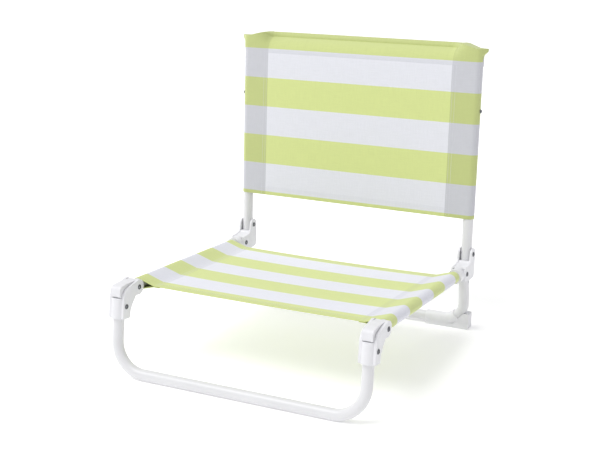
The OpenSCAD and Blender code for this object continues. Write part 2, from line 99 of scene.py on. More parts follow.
class ClothSettings(bpy.types.PropertyGroup):
    thickness: length_property("Thickness", "Thickness of one layer of cloth", 0.0008)
    layer_gap: length_property("Layer gap", "Distance between two sewn layers", 0.0011)
    sleeve: length_property("Sleeve", "From a tube's centre line inward to the seam", 0.037)
    flap: length_property("Flap", "Width of the turned-in edge past a sleeve's seam", 0.012)
    hem: length_property("Hem", "Width of a turned hem", 0.019)
    pocket: length_property("Pocket", "Height of the pocket around the top bar", 0.044)
    sag_front: length_property("Front sag", "Sag of the seat's front edge", 0.001)
    sag_middle: length_property("Middle sag", "Sag of the seat's middle", 0.0035)
    sag_back: length_property("Back sag", "Sag of the seat's back edge", 0.0025)
    seam_height: length_property("Seam height", "Seat's seams above the rails' centre lines", 0.0005)
    seat_first: length_property("First seat stripe", "Width of the seat's front stripe", 0.0335)
    seat_pitch: length_property("Seat stripe", "Width of one stripe of the seat", 0.0634)
    back_first: length_property("First back stripe", "Width of the back's lowest stripe", 0.007)
    back_pitch: length_property("Back stripe", "Width of one stripe of the back", 0.0632)
    thread: length_property("Thread spacing", "Spacing of the woven threads as drawn", 0.0016)
    stitch: length_property("Stitch", "Length of one stitch", 0.0032)
    lime: colour_property("Lime stripe", "Colour of the lime stripes", "#D4DE94")
    white: colour_property("White stripe", "Colour of the seat's white stripes", "#E5E6EF")
    # The back's white is the seat's white made darker: painted shade for the upright back, which catches less
    # light than the seat
    shaded_back_white: colour_property("White back stripe", "Colour of the back's white stripes", "#E2E3EA")


class FrameSettings(bpy.types.PropertyGroup):
    coat: colour_property("Powder coat", "Colour of the coated tubes", "#DFDFE1")
    plastic: colour_property("Plastic", "Colour of the moulded fittings", "#E6E6E9")
    zinc: colour_property("Zinc", "Colour of the plated rivets and screws", "#75777B")
    round_large: length_property("Large rounding", "Edge rounding of the rail ends", 0.0045)
    round_small: length_property("Small rounding", "Edge rounding of the thin-walled fittings", 0.0014)


class StageSettings(bpy.types.PropertyGroup):
    place: FloatVectorProperty(name="Place", description="Camera's place", subtype="TRANSLATION",
                               unit="LENGTH", default=(1.0153, -2.0677, 0.9314))
    azimuth: angle_property("Azimuth", "Camera's turn around the chair", 26.38)
    elevation: angle_property("Elevation", "Camera's height angle", 16.33)
    roll: angle_property("Roll", "Camera's roll", -0.29)
    lens: plain_property("Lens", "Camera's focal length in millimetres", 72.28)
    sky: plain_property("Sky", "Strength of the even light from all round", 0.56)
    floor: colour_property("Floor", "Colour of the floor", "#FDFDFD")
    floor_glow: plain_property("Floor glow", "Strength of the light table's own light", 0.21)


# From the middle of the floor to its edges, and the point that every light faces
FLOOR_REACH = 14.0
AIM = Vector((0, 0, 0.25))
# Each light: its name, kind, place, size (an angle for the sun) and strength
LIGHTS = (
    ("key", "SUN", (-1.0, -1.1, 2.8), math.radians(38), 1.75),
    ("side", "AREA", (-1.9, 0.3, 1.1), 1.4, 9.0),
    ("rim", "AREA", (0.5, 2.2, 1.9), 1.6, 8.0),
)


# ---- Colours and nodes ----

def linear(code):
    """A linear RGBA colour from an sRGB hex value."""
    values = [int(code[i:i + 2], 16) / 255 for i in (1, 3, 5)]
    return [v / 12.92 if v <= 0.04045 else ((v + 0.055) / 1.055) ** 2.4 for v in values] + [1.0]


def shade(code, factor):
    """The linear colour of the sRGB hex value, scaled by factor."""
    return [c * factor for c in linear(code)[:3]] + [1.0]


def add(tree, kind, inputs=(), **settings):
    """Adds a node. inputs pairs a socket's name or number with a value or with the socket that feeds it."""
    node = tree.nodes.new(kind)
    for key, value in settings.items():
        setattr(node, key, value)
    for key, value in dict(inputs).items():
        if isinstance(value, bpy.types.NodeSocket):
            tree.links.new(value, node.inputs[key])
        else:
            node.inputs[key].default_value = value
    return node


def new_material(name):
    """An empty material with its Principled shader."""
    material = bpy.data.materials.new(name)
    material.use_nodes = True
    tree = material.node_tree
    tree.nodes.clear()
    shader = add(tree, "ShaderNodeBsdfPrincipled")
    output = add(tree, "ShaderNodeOutputMaterial")
    tree.links.new(shader.outputs[0], output.inputs[0])
    return material, tree, shader


def noise(tree, vector, size, detail=2.0):
    """Noise whose features are about size metres wide."""
    inputs = {"Vector": vector, "Scale": 1 / size, "Detail": detail}
    return add(tree, "ShaderNodeTexNoise", inputs).outputs["Fac"]


def math_node(tree, operation, a, b=0.0, c=0.0):
    return add(tree, "ShaderNodeMath", {0: a, 1: b, 2: c}, operation=operation).outputs[0]


def spread(tree, value, low, high):
    """Maps 0.3 to 0.7 of a noise onto low to high."""
    node = add(tree, "ShaderNodeMapRange", {"Value": value, 1: 0.3, 2: 0.7, 3: low, 4: high})
    return node.outputs["Result"]


def mixed(tree, factor, a, b):
    """A colour between a and b."""
    node = add(tree, "ShaderNodeMix", {0: factor, 6: a, 7: b}, data_type="RGBA")
    return node.outputs[2]


def powder_coated_steel(settings):
    """Polyester powder coat baked on steel tube: even, satin, with a faint orange peel about 1.5 mm wide."""
    material, tree, shader = new_material("powder_coated_steel")
    place = add(tree, "ShaderNodeTexCoord").outputs["Object"]
    peel = noise(tree, place, 0.0015, 1.0)
    haze = noise(tree, place, 0.04)
    colour = mixed(tree, spread(tree, haze, 0.0, 1.0), shade(settings.coat, 0.97), linear(settings.coat))
    tree.links.new(colour, shader.inputs["Base Color"])
    tree.links.new(spread(tree, haze, 0.30, 0.38), shader.inputs["Roughness"])
    bump = add(tree, "ShaderNodeBump", {"Height": peel, "Strength": 0.12, "Distance": 0.0003})
    tree.links.new(bump.outputs[0], shader.inputs["Normal"])
    return material


def moulded_polypropylene(settings):
    """Injection-moulded polypropylene: matt white, with the mould's spark-eroded grain.

    The real grain is about 0.1 mm wide and is drawn 0.7 mm wide so that it shows."""
    material, tree, shader = new_material("moulded_polypropylene")
    place = add(tree, "ShaderNodeTexCoord").outputs["Object"]
    grain = noise(tree, place, 0.0007)
    flow = noise(tree, place, 0.018)
    colour = mixed(tree, spread(tree, flow, 0.0, 1.0),
                   shade(settings.plastic, 0.955), linear(settings.plastic))
    tree.links.new(colour, shader.inputs["Base Color"])
    tree.links.new(spread(tree, grain, 0.40, 0.52), shader.inputs["Roughness"])
    shader.inputs["IOR"].default_value = 1.49
    bump = add(tree, "ShaderNodeBump", {"Height": grain, "Strength": 0.22, "Distance": 0.00025})
    tree.links.new(bump.outputs[0], shader.inputs["Normal"])
    return material


def zinc_plated_steel(settings, name="zinc_plated_steel", painted_light_gain=1.0):
    """Zinc-plated steel: grey metal with a soft mottle of the plating and faint forming marks."""
    material, tree, shader = new_material(name)
    place = add(tree, "ShaderNodeTexCoord").outputs["Object"]
    mottle = noise(tree, place, 0.0012)
    # A gain above 1 paints light into the colour, as on the rivets' hollow middles
    colour = mixed(tree, spread(tree, mottle, 0.0, 1.0), shade(settings.zinc, 0.7 * painted_light_gain),
                   shade(settings.zinc, painted_light_gain))
    tree.links.new(colour, shader.inputs["Base Color"])
    tree.links.new(spread(tree, mottle, 0.28, 0.45), shader.inputs["Roughness"])
    shader.inputs["Metallic"].default_value = 1.0
    bump = add(tree, "ShaderNodeBump", {"Height": mottle, "Strength": 0.15, "Distance": 0.0002})
    tree.links.new(bump.outputs[0], shader.inputs["Normal"])
    return material


def woven_polyester(name, settings, white, first, pitch, shaded_plies):
    """Yarn-dyed polyester in plain weave: matt and striped along the cloth's length, with painted shade where
    it lies in two layers and less light comes through.

    The real threads are about 0.6 mm apart and are drawn coarser so that they show. plies lists
    (axis, limit, side, weight): beyond the limit along U or V the cloth lies in two layers and gets that
    weight of painted shade."""
    material, tree, shader = new_material(name)
    flat = add(tree, "ShaderNodeUVMap", uv_map="flat").outputs[0]
    axes = add(tree, "ShaderNodeSeparateXYZ", {0: flat}).outputs
    across, along = axes[0], axes[1]

    halves = []
    for scale in ((0.06, 1.0, 1.0), (1.0, 0.06, 1.0)):
        drawn_out = add(tree, "ShaderNodeMapping", {"Vector": flat, "Scale": scale}).outputs[0]
        halves.append(math_node(tree, "MULTIPLY", noise(tree, drawn_out, settings.thread), 0.5))
    streaks = math_node(tree, "ADD", *halves)

    wave_u = math_node(tree, "SINE", math_node(tree, "MULTIPLY", across, math.pi / settings.thread))
    wave_v = math_node(tree, "SINE", math_node(tree, "MULTIPLY", along, math.pi / settings.thread))
    weave = math_node(tree, "MULTIPLY_ADD", math_node(tree, "MULTIPLY", wave_u, wave_v), 0.5, 0.5)

    steps = math_node(tree, "DIVIDE", math_node(tree, "SUBTRACT", along, first), 2 * pitch)
    is_white = math_node(tree, "LESS_THAN", math_node(tree, "FRACT", steps), 0.5)
    colour = mixed(tree, is_white, linear(settings.lime), linear(white))

    ply_shade = None
    for axis, limit, side, weight in shaded_plies:
        value = math_node(tree, "ABSOLUTE", across) if axis == "U" else along
        beyond = math_node(tree, "GREATER_THAN" if side > 0 else "LESS_THAN", value, limit)
        part = math_node(tree, "MULTIPLY", beyond, weight)
        ply_shade = part if ply_shade is None else math_node(tree, "MAXIMUM", ply_shade, part)
    # Shaded copies of the stripe colours: painted shade for cloth in two layers, where less light comes
    # through
    deep = mixed(tree, is_white, shade(settings.lime, 0.80), shade(white, 0.76))
    colour = mixed(tree, ply_shade, colour, deep)

    tone = math_node(tree, "MULTIPLY", spread(tree, streaks, 0.955, 1.03),
                     math_node(tree, "MULTIPLY_ADD", weave, 0.07, 0.95))
    grey = add(tree, "ShaderNodeCombineColor", {0: tone, 1: tone, 2: tone}).outputs[0]
    toned = add(tree, "ShaderNodeMix", {0: 1.0, 6: colour, 7: grey}, data_type="RGBA", blend_type="MULTIPLY")
    tree.links.new(toned.outputs[2], shader.inputs["Base Color"])
    tree.links.new(spread(tree, streaks, 0.72, 0.86), shader.inputs["Roughness"])
    shader.inputs["Sheen Weight"].default_value = 0.25
    shader.inputs["Sheen Roughness"].default_value = 0.5
    shader.inputs["Specular IOR Level"].default_value = 0.3
    height = math_node(tree, "ADD", weave, streaks)
    bump = add(tree, "ShaderNodeBump", {"Height": height, "Strength": 0.35, "Distance": 0.00035})
    tree.links.new(bump.outputs[0], shader.inputs["Normal"])
    return material


def sewing_thread(name, code):
    """Spun polyester sewing thread: matt, with a twist about 0.5 mm long."""
    material, tree, shader = new_material(name)
    place = add(tree, "ShaderNodeTexCoord").outputs["Object"]
    twist = noise(tree, place, 0.0005)
    colour = mixed(tree, spread(tree, twist, 0.0, 1.0), shade(code, 0.8), linear(code))
    tree.links.new(colour, shader.inputs["Base Color"])
    shader.inputs["Roughness"].default_value = 0.75
    return material


def pale_floor(settings):
    """Opal acrylic of a light table: matt, white and softly lit from below, which keeps shadows faint."""
    material, tree, shader = new_material("opal_acrylic_floor")
    place = add(tree, "ShaderNodeTexCoord").outputs["Object"]
    colour = mixed(tree, noise(tree, place, 0.5), shade(settings.floor, 0.99), linear(settings.floor))
    tree.links.new(colour, shader.inputs["Base Color"])
    shader.inputs["Roughness"].default_value = 0.9
    shader.inputs["Emission Color"].default_value = linear(settings.floor)
    shader.inputs["Emission Strength"].default_value = settings.floor_glow
    return material


def material_once(name, make, *args):
    """The material of that name, made the first time that it is asked for."""
    return bpy.data.materials.get(name) or make(*args)


# ---- Meshes ----

def new_piece(name, bm, body, materials, smooth_angle=35):
    """Turns a bmesh into a piece that rides on a body."""
    mesh = bpy.data.meshes.new(name)
    bm.to_mesh(mesh)
    bm.free()
    for face in mesh.polygons:
        face.use_smooth = True
    mesh.set_sharp_from_angle(angle=math.radians(smooth_angle))
    piece = bpy.data.objects.new(name, mesh)
    bpy.context.scene.collection.objects.link(piece)
    for material in materials:
        mesh.materials.append(material)
    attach(piece, body)
    return piece


def cloth_grid(bm, columns, rows, place):
    """A grid of cloth. place(i, j) gives a vertex's point and its place on the flat cloth."""
    uv = bm.loops.layers.uv.get("flat") or bm.loops.layers.uv.new("flat")
    made = bmesh.ops.create_grid(bm, x_segments=columns - 1, y_segments=rows - 1, size=0.5)["verts"]
    flat = {}
    for vert in made:
        i = round((vert.co.x + 0.5) * (columns - 1))
        j = round((vert.co.y + 0.5) * (rows - 1))
        point, flat[vert] = place(i, j)
        vert.co = point
    for face in {face for vert in made for face in vert.link_faces}:
        for loop in face.loops:
            loop[uv].uv = flat[loop.vert]


def ease(t):
    """A smooth step from 0 to 1."""
    t = min(max(t, 0.0), 1.0)
    return t * t * (3 - 2 * t)


class Section:
    """A cloth strip across the chair: from the middle to a tube, round it and back to its own seam.

    Points are (x, y) with the tube's centre at (half, 0). sheet_y is the sheet's place, seam_x the
    seam's, and turn is 1 where the strip goes over the tube and -1 where it goes before it."""

    FLAP_DEPTH = 2.6  # How many layer gaps the flap lies behind the sheet
    FLAP_HEM = 0.6  # Share of the hem's depth on the flap, so that its layers stay apart

    def __init__(self, half, radius, sheet_y, seam_x, flap, gap, turn):
        to_seam = Vector((seam_x - half, sheet_y))
        middle = math.atan2(to_seam.y * turn, to_seam.x)
        spread_angle = math.acos(min(1.0, radius / to_seam.length))
        first = middle - spread_angle
        total = 2 * (math.pi - spread_angle)
        crowding = 1.15  # Columns lie closer together near the middle of the sheet
        sheet = [Vector((seam_x * (1 - (1 - i / SHEET_COLUMNS) ** crowding), sheet_y))
                 for i in range(SHEET_COLUMNS)]
        arc = []
        for i in range(ARC_COLUMNS + 1):
            a = first - total * i / ARC_COLUMNS
            arc.append(Vector((half + radius * math.cos(a), turn * radius * math.sin(a))))
        seam = Vector((seam_x, sheet_y))
        inner = seam - Vector((0, turn * gap * self.FLAP_DEPTH))
        end = inner - Vector((flap, 0))
        before = [seam.lerp(arc[0], i / JOIN_COLUMNS) for i in range(JOIN_COLUMNS)]
        after = [arc[-1].lerp(inner, i / JOIN_COLUMNS) for i in range(1, JOIN_COLUMNS)]
        last = [inner.lerp(end, i / FLAP_COLUMNS) for i in range(FLAP_COLUMNS + 1)]
        right = sheet + before + arc + after + last
        self.arc_start = len(sheet) + len(before)
        self.arc_end = self.arc_start + len(arc) - 1
        self.points = [Vector((-p.x, p.y)) for p in right[:0:-1]] + right
        self.middle = len(right) - 1
        self.lengths = [0.0]
        for a, b in zip(self.points, self.points[1:]):
            self.lengths.append(self.lengths[-1] + (b - a).length)
        self.total = self.lengths[-1]
        self.turn = turn

    def count(self):
        return len(self.points)

    def flat(self, i):
        """Distance of column i from the middle of the flat cloth."""
        return self.lengths[i] - self.total / 2

    def hem_share(self, i):
        """Share of the hem's depth at column i."""
        return self.FLAP_HEM if abs(i - self.middle) > self.arc_end + 2 else 1.0

    def inward(self, i):
        """Direction at column i toward the inside of the sleeve and the sheet's hidden face."""
        a = self.points[max(i - 1, 0)]
        b = self.points[min(i + 1, len(self.points) - 1)]
        along = (b - a).normalized()
        return Vector((along.y, -along.x)) * self.turn


def hemmed_rows(length, hem, gap, rows, hem_end=True):
    """Rows along a strip with a turned hem at its start, and at its end if hem_end is set.

    Each row is (distance along, depth below the face, distance along the flat cloth)."""
    steps, bends = 5, 4
    angles = [math.pi * k / bends for k in range(1, bends)]
    turn = [(-gap / 2 * math.sin(a), gap / 2 * (1 + math.cos(a))) for a in angles]
    result = [(hem * (1 - k / steps), gap, -hem * (1 - k / steps)) for k in range(steps)]
    result += [(y, depth, 0.0) for y, depth in turn]
    result += [(length * k / rows, 0.0, length * k / rows) for k in range(rows + 1)]
    if hem_end:
        result += [(length - y, depth, length) for y, depth in reversed(turn)]
        result += [(length - hem * k / steps, gap, length + hem * k / steps) for k in range(1, steps + 1)]
    return result


def add_thickness(piece, thickness):
    modifier = piece.modifiers.new("Cloth thickness", "SOLIDIFY")
    modifier.thickness = thickness
    modifier.offset = 0.0


def stitch_line(bm, place, start, end, length):
    """Stitches along a line of the flat cloth. place(u, v) gives the point and normal of the cloth."""
    half_width, half_height, pitch, space = 0.0004, 0.0003, 1.35 * length, 0.15
    start, end = Vector(start), Vector(end)
    count = int((end - start).length / pitch)
    for k in range(count):
        a, _ = place(*start.lerp(end, (k + space) / count))
        b, normal = place(*start.lerp(end, (k + 1 - space) / count))
        along = (b - a).normalized()
        side = normal.cross(along).normalized()
        turn = Matrix((along, side, normal)).transposed().to_4x4()
        size = Matrix.Diagonal(((b - a).length / 2, half_width, half_height, 1.0))
        bmesh.ops.create_icosphere(bm, subdivisions=1, radius=1.0,
                                   matrix=Matrix.Translation((a + b) / 2) @ turn @ size)


# ---- Places taken from the frame ----

def tube_radius():
    low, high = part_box("back_post_right")
    return (high.x - low.x) / 2


def rail_half():
    """Distance of a rail's or a post's centre line from the middle of the chair."""
    low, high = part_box("seat_rail_right")
    return (low.x + high.x) / 2


def cover(radius, cloth):
    """Radius of the middle of the cloth around a tube."""
    return radius + CLOTH_CLEARANCE + cloth.thickness / 2


def seat_place():
    """Turns seat coordinates, with Y along the rails from the front pivot, into the frame's."""
    front, rear = JOINT["front_leg_fold"], JOINT["rear_leg_fold"]
    slope = math.atan2(front.z - rear.z, rear.y - front.y)
    return Matrix.Translation(front) @ Matrix.Rotation(-slope, 4, "X")


def back_place():
    """Turns back coordinates, with Z along the posts from the back pivot, into the frame's."""
    low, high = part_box("back_post_right")
    lean = math.atan2(high.y - low.y - 2 * tube_radius(), high.z - low.z)
    return Matrix.Translation(JOINT["backrest_fold"]) @ Matrix.Rotation(-lean, 4, "X")


def cad_fabric_reach(node, matrix, axis):
    """Lowest and highest place of a CAD node along an axis of that matrix."""
    inverse = matrix.inverted()
    values = [(inverse @ vert.co)[axis] for vert in frame["nodes"][node].data.vertices]
    return min(values), max(values)


# ---- Pieces ----

class CHAIR_OT_seat_cloth(bpy.types.Operator):
    """Make the striped seat cloth with its sleeves and turned hems"""
    bl_idname = "chair.seat_cloth"
    bl_label = "Seat Cloth"

    def execute(self, context):
        cloth = context.scene.chair_cloth
        matrix = seat_place()
        start, stop = cad_fabric_reach("seat_fabric", matrix, 1)
        length = stop - start
        half = rail_half()
        radius = cover(tube_radius(), cloth)
        seam_x = half - cloth.sleeve
        sheet_z = cloth.seam_height
        sag_shape = 2.2  # 2 is a parabola, and more is flatter in the middle
        section = Section(half, radius, sheet_z, seam_x, cloth.flap, cloth.layer_gap, 1)
        rows = hemmed_rows(length, cloth.hem, cloth.layer_gap, SEAT_ROWS)

        def sag(x, y):
            t = y / length
            deep = (cloth.sag_front * (1 - t) + cloth.sag_back * t
                    + 4 * t * (1 - t) * (cloth.sag_middle - (cloth.sag_front + cloth.sag_back) / 2))
            return deep * max(0.0, 1 - (abs(x) / seam_x) ** sag_shape)

        def surface(point, y):
            return matrix @ Vector((point.x, start + y, point.y - sag(point.x, y)))

        def place(i, j):
            y, depth, flat_y = rows[j]
            point = section.points[i] + section.inward(i) * depth * section.hem_share(i)
            return surface(point, y), (section.flat(i), flat_y)

        def on_face(u, v):
            point = Vector((u, sheet_z + cloth.thickness / 2 + STITCH_LIFT))
            return surface(point, v), (matrix.to_3x3() @ Vector((0, 0, 1))).normalized()

        bm = bmesh.new()
        cloth_grid(bm, section.count(), len(rows), place)
        if sum(face.normal.z * face.calc_area() for face in bm.faces) < 0:
            bmesh.ops.reverse_faces(bm, faces=bm.faces)
        # Painted shade where the cloth lies in two layers and less light comes through: over the sleeves and
        # the hems
        shaded_plies = [("U", seam_x - cloth.flap, 1, 0.3), ("V", cloth.hem, -1, 0.35),
                 ("V", length - cloth.hem, 1, 0.35)]
        material = woven_polyester("woven_polyester_seat", cloth, cloth.white,
                                   cloth.seat_first, cloth.seat_pitch, shaded_plies)
        piece = new_piece("seat_cloth", bm, "seat", [material], 60)
        add_thickness(piece, cloth.thickness)
        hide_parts("seat_fabric")

        bm = bmesh.new()
        for u in (seam_x - STITCH_INSET, seam_x - cloth.flap + STITCH_INSET):
            for side in SIDES.values():
                stitch_line(bm, on_face, (side * u, STITCH_START),
                            (side * u, length - STITCH_START), cloth.stitch)
        for v in (cloth.hem - STITCH_INSET, length - cloth.hem + STITCH_INSET):
            stitch_line(bm, on_face, (-seam_x, v), (seam_x, v), cloth.stitch)
        thread = material_once("sewing_thread", sewing_thread, "sewing_thread", cloth.white)
        new_piece("seat_stitching", bm, "seat", [thread])
        return {"FINISHED"}


class CHAIR_OT_back_cloth(bpy.types.Operator):
    """Make the striped back cloth with its sleeves, its hem and the pocket around the top bar"""
    bl_idname = "chair.back_cloth"
    bl_label = "Back Cloth"

    def execute(self, context):
        cloth = context.scene.chair_cloth
        matrix = back_place()
        inverse = matrix.inverted()
        low, top = cad_fabric_reach("back_fabric", matrix, 2)
        top -= cloth.thickness / 2
        half = rail_half()
        radius = cover(tube_radius(), cloth)
        seam_x = half - cloth.sleeve
        section = Section(half, radius, -radius, seam_x, cloth.flap, cloth.layer_gap, -1)

        bar_low, bar_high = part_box("back_top_bar")
        bar_centre = inverse @ ((bar_low + bar_high) / 2)
        bar_y = bar_centre.y
        bar_radius = (bar_high.z - bar_low.z) / 2
        bar_cover = cover(bar_radius, cloth)
        bar_end = bar_high.x
        pull = bar_y - bar_cover + radius
        # The sheet bends back to the bar over bar_front_reach below the top, and over corner_width across
        bar_front_reach, corner_start, corner_width = 0.012, 0.016, 0.045
        pocket = top - cloth.pocket

        def set_back(x, z):
            across = ease((half - corner_start - abs(x)) / corner_width)
            return pull * across * math.exp(-max(top - z, 0.0) / bar_front_reach)

        def surface(point, z):
            shift = set_back(point.x, z) * ease((radius - point.y) / (2 * radius))
            return matrix @ Vector((point.x, point.y + shift, z))

        height = pocket - low
        rows = hemmed_rows(height, cloth.hem, cloth.layer_gap, BACK_ROWS, hem_end=False)

        def place(i, j):
            z, depth, flat_z = rows[j]
            point = section.points[i] + section.inward(i) * depth * section.hem_share(i)
            return surface(point, low + z), (section.flat(i), flat_z)

        arc_middle = (section.arc_start + section.arc_end) // 2
        first, last = section.middle - arc_middle, section.middle + arc_middle
        face_columns = list(range(first, last + 1))
        # Rows up the pocket's front, over its top and down its back
        rise, over, fall = 18, 14, 16
        # The pocket's rear face lies at full up to the knee and comes forward to edge_rear at the post
        full, knee, edge_rear = bar_y + bar_cover, bar_end + 0.006, radius + 0.001
        # The top turns square over square_width, from square_before ahead of the bar's end
        square_before, square_width = 0.006, 0.005
        # Each ear reaches out and back from the post, over ear_low of height, with edges rounded by ear_round
        ear_out, ear_back, ear_low, ear_round = 0.009, 0.005, 0.016, 0.0022
        # Powers below 1 make a round section squarer, to clear the corner fittings
        front_square, rear_square, top_square, ear_point = 0.6, 0.5, 0.3, 8
        # The pocket's front closes by close_rate, its back hangs straight for held_part, and its cloth
        # takes over_flat to pass over the bar. The deeper painted shade of the top band starts top_shade_drop
        # below it.
        close_rate, held_part, over_flat, top_shade_drop = 2.2, 0.5, 0.030, 0.006
        corner = frame["nodes"]["top_corner_right"].data.vertices
        bar_top = bar_centre.z + bar_radius
        fall_to_ear = bar_top - max((inverse @ vert.co).z for vert in corner if vert.co.x > half)

        def rear_y(x):
            """The pocket's rear face, from behind the bar forward to the post's side."""
            reach = (abs(x) - knee) / (half + radius - knee)
            return full + (edge_rear - full) * min(max(reach, 0.0), 1.0)

        def pocket_place(i, j):
            column = face_columns[i]
            point = section.points[column].copy()
            edge = abs(point.x) - half
            rear = rear_y(point.x)
            outward = min(1.0, max(edge, 0.0) / radius)
            if edge > 0:
                point.y = -radius * math.sqrt(1 - outward ** 2) ** front_square
                rear *= math.sqrt(1 - outward ** 2) ** rear_square
            front = section.points[column].lerp(point, ease(close_rate * j / rise))
            start_y = front.y + set_back(front.x, top)
            half_depth = max((rear - start_y) / 2, 0.0)
            across = ease((abs(point.x) - bar_end + square_before) / square_width)
            power = 1 + (top_square - 1) * across
            round_top = min(half_depth, bar_cover + (ear_round - bar_cover) * across)
            crest = top - fall_to_ear * min(1.0, max(abs(point.x) - knee, 0.0) / (half - knee))
            shoulder = crest - round_top
            over_length = 2 * half_depth
            if j <= rise:
                z = pocket + (shoulder - pocket) * j / rise
                y = front.y + set_back(front.x, z + round_top * j / rise)
                flat_z = height + (shoulder - pocket) * j / rise
            elif j <= rise + over:
                phi = math.pi * (j - rise) / over
                forward = math.copysign(abs(math.cos(phi)) ** power, math.cos(phi))
                y = (start_y + rear) / 2 - half_depth * forward
                z = shoulder + round_top * max(math.sin(phi), 0.0) ** power
                flat_z = height + cloth.pocket + over_length * (j - rise) / over
            else:
                t = (j - rise - over) / fall
                past_seam = max(abs(point.x) - seam_x, 0) / (half - seam_x)
                sewn = 2 * cloth.layer_gap + min(-radius + past_seam * 2 * radius, radius)
                if edge > 0:
                    sewn = rear
                sewn += set_back(point.x, pocket) * (1 if abs(point.x) < seam_x else 0)
                y = rear + (sewn - rear) * ease((t - held_part) / (1 - held_part))
                z = shoulder + (pocket - shoulder) * t
                flat_z = height + cloth.pocket + over_length + cloth.pocket * t
            ear = outward ** ear_point * ease((z - crest + ear_low) / (0.75 * ear_low))
            x = front.x + math.copysign(ear_out * ear, front.x)
            y += (ear_back - y) * 0.8 * ear
            return matrix @ Vector((x, y, z)), (section.flat(column), flat_z)

        bm = bmesh.new()
        cloth_grid(bm, section.count(), len(rows), place)
        cloth_grid(bm, len(face_columns), rise + over + fall + 1, pocket_place)
        bmesh.ops.remove_doubles(bm, verts=bm.verts, dist=CLOTH_MERGE)
        below_pocket = [face for face in bm.faces if (inverse @ face.calc_center_median()).z < pocket]
        if sum(-face.normal.y * face.calc_area() for face in below_pocket
               if abs(face.calc_center_median().x) < seam_x / 2) < 0:
            bmesh.ops.reverse_faces(bm, faces=bm.faces)
        # Painted shade where the cloth lies in two layers and less light comes through: the sleeves, the hem
        # and the pocket, deepest at the pocket's top band
        shaded_plies = [("U", seam_x - cloth.flap, 1, 1.0), ("V", cloth.hem, -1, 0.12), ("V", height, 1, 0.45),
                 ("V", height + cloth.pocket - top_shade_drop, 1, 0.9)]
        # The back's white stripes take the darker copy of the white, as painted shade
        material = woven_polyester("woven_polyester_back", cloth, cloth.shaded_back_white,
                                   cloth.back_first, cloth.back_pitch, shaded_plies)
        piece = new_piece("back_cloth", bm, "backrest", [material], 60)
        add_thickness(piece, cloth.thickness)
        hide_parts("back_fabric")

        def on_face(u, v):
            point = Vector((u, -radius - cloth.thickness / 2 - STITCH_LIFT))
            return surface(point, low + v), (matrix.to_3x3() @ Vector((0, -1, 0))).normalized()

        bm = bmesh.new()
        for u in (seam_x - STITCH_INSET, seam_x - cloth.flap + STITCH_INSET):
            for side in SIDES.values():
                stitch_line(bm, on_face, (side * u, STITCH_START), (side * u, height), cloth.stitch)
        for v in (cloth.hem - STITCH_INSET, height + STITCH_INSET):
            stitch_line(bm, on_face, (-seam_x, v), (seam_x, v), cloth.stitch)
        thread = material_once("sewing_thread", sewing_thread, "sewing_thread", cloth.white)
        new_piece("back_stitching", bm, "backrest", [thread])
        return {"FINISHED"}


FITTINGS = {
    "rail_end": ("seat", "round_large"),
    "rear_bracket": ("seat", "round_small"),
    "leg_housing": ("front_leg", "round_small"),
    "rear_leg_eye": ("rear_leg", "round_small"),
    "rear_foot": ("rear_leg", "round_small"),
    "post_plug": ("backrest", "round_small"),
    "top_corner": ("backrest", "round_small"),
}


class CHAIR_OT_fittings(bpy.types.Operator):
    """Make the moulded fittings with rounded edges from the shapes in the frame"""
    bl_idname = "chair.fittings"
    bl_label = "Moulded Fittings"

    def execute(self, context):
        settings = context.scene.chair_frame
        plastic = moulded_polypropylene(settings)
        for kind, (body, rounding) in FITTINGS.items():
            for side in SIDES:
                node = f"{kind}_{side}"
                bm = bmesh.new()
                bm.from_mesh(frame["nodes"][node].data)
                bmesh.ops.remove_doubles(bm, verts=bm.verts, dist=SHAPE_MERGE)
                bmesh.ops.dissolve_limit(bm, angle_limit=math.radians(1.5), verts=bm.verts, edges=bm.edges)
                for layer in list(bm.loops.layers.uv.values()):
                    bm.loops.layers.uv.remove(layer)
                piece = new_piece(f"{node}_moulding", bm, body, [plastic])
                bevel = piece.modifiers.new("Rounded edges", "BEVEL")
                bevel.width = getattr(settings, rounding)
                bevel.segments = 3
                bevel.limit_method = "ANGLE"
                bevel.angle_limit = math.radians(38)
                bevel.harden_normals = True
                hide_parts(node)
        return {"FINISHED"}


TUBES = ("seat_rail_left", "seat_rail_right", "front_leg_tube", "rear_leg_tube",
         "back_post_left", "back_post_right", "back_top_bar")
PLAIN_FASTENERS = ("rail_screws", "eye_pins", "corner_screws", "fabric_screws")
RIVETS = {"housing_rivets": "front_leg", "front_pivot_rivets": "front_leg",
          "rear_leg_rivets": "seat", "back_pivot_rivets": "seat"}


class CHAIR_OT_tubes(bpy.types.Operator):
    """Give the tubes their powder coat and the screws and pins their plating"""
    bl_idname = "chair.tubes"
    bl_label = "Tubes and Screws"

    def execute(self, context):
        settings = context.scene.chair_frame
        coat = powder_coated_steel(settings)
        zinc = material_once("zinc_plated_steel", zinc_plated_steel, settings)
        for names, material in ((TUBES, coat), (PLAIN_FASTENERS, zinc)):
            for name in names:
                data = frame["nodes"][name].data
                data.materials.clear()
                data.materials.append(material)
        return {"FINISHED"}


